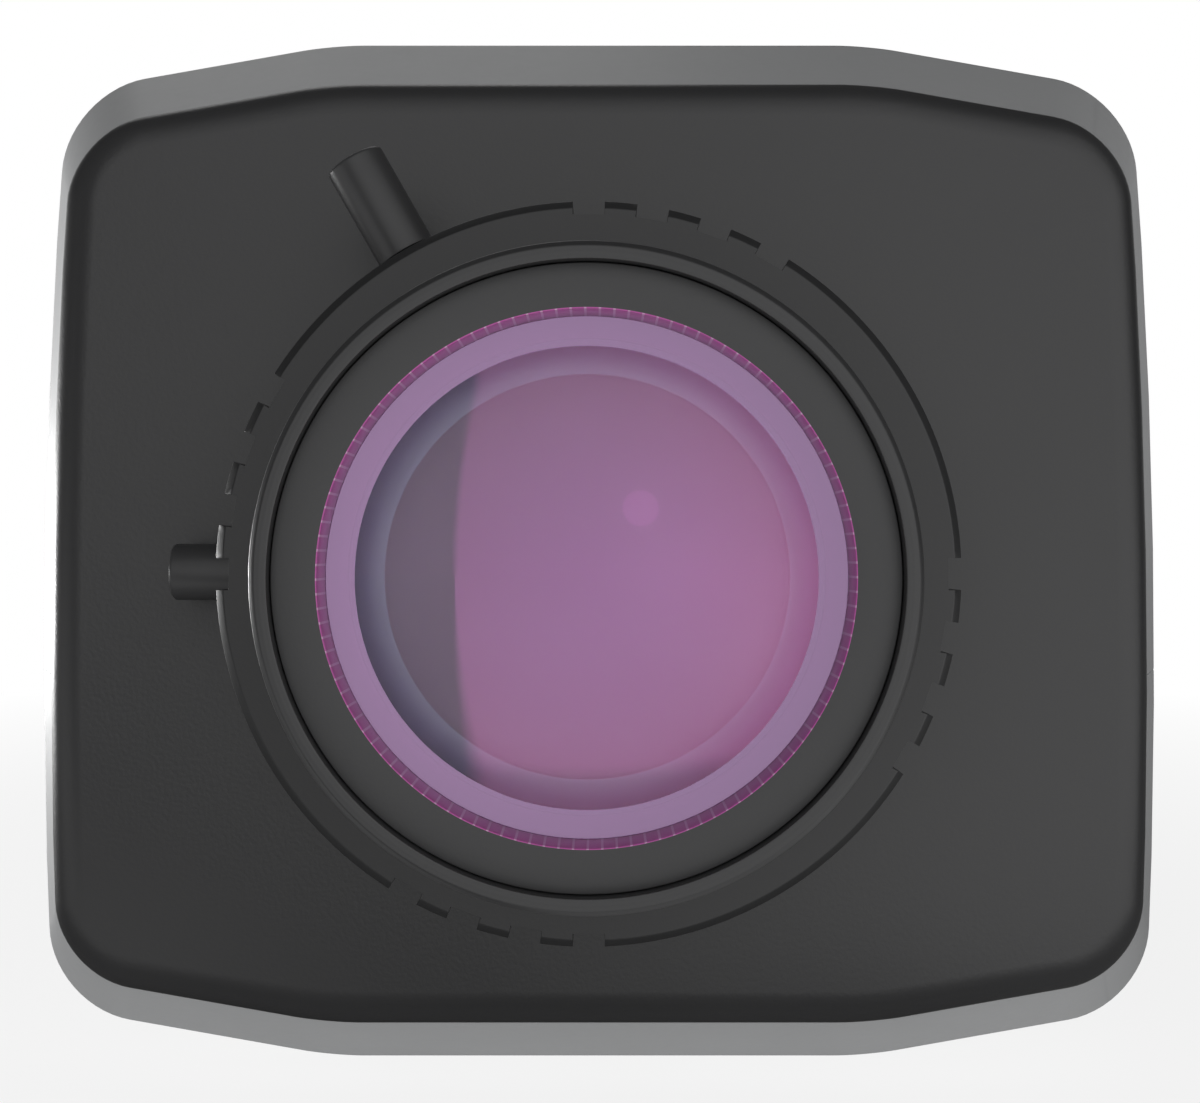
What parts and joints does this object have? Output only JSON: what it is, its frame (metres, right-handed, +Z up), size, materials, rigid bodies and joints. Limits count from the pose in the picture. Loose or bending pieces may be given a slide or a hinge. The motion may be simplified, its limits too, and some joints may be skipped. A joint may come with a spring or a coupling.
{
  "type": "ip box camera",
  "caption": "Network box camera: light metal housing with flared nose, dark front cap, manual zoom lens with notched rings and lock screws, rear connectors and tripod thread.",
  "frame": {"origin": "mouth of the tripod thread, in the middle of the flat underside", "axes": "+X to the right as the lens is faced, +Y to the rear panel, +Z up"},
  "size_m": [0.075, 0.151, 0.0684],
  "materials": {
    "housing_paint": "satin powder coat",
    "cap_plastic": "fine spark texture",
    "panel_paint": "fine texture",
    "lens_black": "black anodised, satin",
    "ring_plastic": "satin",
    "lock_screw_black": "black anodised",
    "coated_glass": "purple anti-reflection coating",
    "filter_glass": "clear",
    "steel": "zinc plated",
    "brass_insert": "machined",
    "bracket_metal": "die-cast",
    "inner_plastic": "moulded",
    "board_laminate": "solder resist",
    "capacitor_can": "drawn",
    "ribbon_film": "film",
    "connector_plastic": "moulded",
    "terminal_green": "moulded",
    "contact_gold": "gold flash",
    "light_clear": "clear tinted"
  },
  "bodies": {
    "camera_body": {"housing_base": "housing_paint", "housing_top_cover": "housing_paint", "front_cap": "cap_plastic", "rear_panel": "panel_paint", "lens_base_barrel": "lens_black", "aperture_stop": "lens_black", "rear_glass": "coated_glass", "case_screws": "steel", "rear_panel_screws": "steel", "bracket_screws": "steel", "sensor_screws": "steel", "main_board_screws": "steel", "io_board_screws": "steel", "filter_motor": "steel", "filter_cover": "steel", "tripod_insert": "brass_insert", "sensor_bracket": "bracket_metal", "lens_mount_ring": "bracket_metal", "heat_sink": "bracket_metal", "button_switch": "inner_plastic", "card_socket": "inner_plastic", "transformer": "inner_plastic", "processor": "inner_plastic", "memory_chips": "inner_plastic", "image_sensor": "inner_plastic", "main_board": "board_laminate", "sensor_board": "board_laminate", "io_board": "board_laminate", "capacitors": "capacitor_can", "ribbon_cable": "ribbon_film", "network_jack": "connector_plastic", "audio_in_jack": "connector_plastic", "audio_out_jack": "connector_plastic", "board_connector": "connector_plastic", "power_terminal": "terminal_green", "io_terminal": "terminal_green", "network_contacts": "contact_gold", "power_pins": "contact_gold", "io_pins": "contact_gold", "status_light": "light_clear"},
    "zoom_ring_body": {"zoom_ring": "ring_plastic"},
    "zoom_lock": {"zoom_lock_screw": "lock_screw_black"},
    "zoom_group": {"zoom_cell": "lens_black", "zoom_glass": "coated_glass"},
    "focus_ring_body": {"focus_ring": "ring_plastic"},
    "focus_lock": {"focus_lock_screw": "lock_screw_black"},
    "front_group": {"front_barrel": "lens_black", "name_ring": "lens_black", "front_glass": "coated_glass", "second_glass": "coated_glass"},
    "filter_slider": {"filter_frame": "inner_plastic", "infrared_filter": "filter_glass", "clear_filter": "filter_glass"},
    "button": {"control_button": "connector_plastic"}
  },
  "joints": [
    {"name": "zoom_turn", "type": "hinge", "parent": "camera_body", "child": "zoom_ring_body", "pos_m": [-0.00057, -0.06375, 0.0329], "axis": [0, -1, 0], "range_deg": [-40, 40]},
    {"name": "zoom_shift", "type": "slide", "parent": "camera_body", "child": "zoom_group", "axis": [0, -1, 0], "range_m": [-0.00275, 0.00275]},
    {"name": "zoom_lock_turn", "type": "hinge", "parent": "zoom_ring_body", "child": "zoom_lock", "pos_m": [-0.02257, -0.064, 0.0329], "axis": [-1, 0, 0], "range_deg": [0, 180]},
    {"name": "focus_turn", "type": "hinge", "parent": "camera_body", "child": "focus_ring_body", "pos_m": [-0.00057, -0.07075, 0.0329], "axis": [0, -1, 0], "range_deg": [-55, 55]},
    {"name": "focus_shift", "type": "slide", "parent": "camera_body", "child": "front_group", "axis": [0, -1, 0], "range_m": [-0.0011, 0.0011]},
    {"name": "focus_lock_turn", "type": "hinge", "parent": "focus_ring_body", "child": "focus_lock", "pos_m": [-0.01147, -0.0705, 0.05201], "axis": [-0.4955, 0, 0.8686], "range_deg": [0, 180]},
    {"name": "filter_shift", "type": "slide", "parent": "camera_body", "child": "filter_slider", "axis": [1, 0, 0], "range_m": [0, 0.0112]},
    {"name": "button_press", "type": "slide", "parent": "camera_body", "child": "button", "axis": [0, -1, 0], "range_m": [0, 0.0005], "stiffness_N_per_m": 400}
  ],
  "couplings": [
    {"joint": "zoom_shift", "follows": "zoom_turn", "m_per_rad": 0.00358},
    {"joint": "focus_shift", "follows": "focus_turn", "m_per_rad": 0.001041}
  ]
}
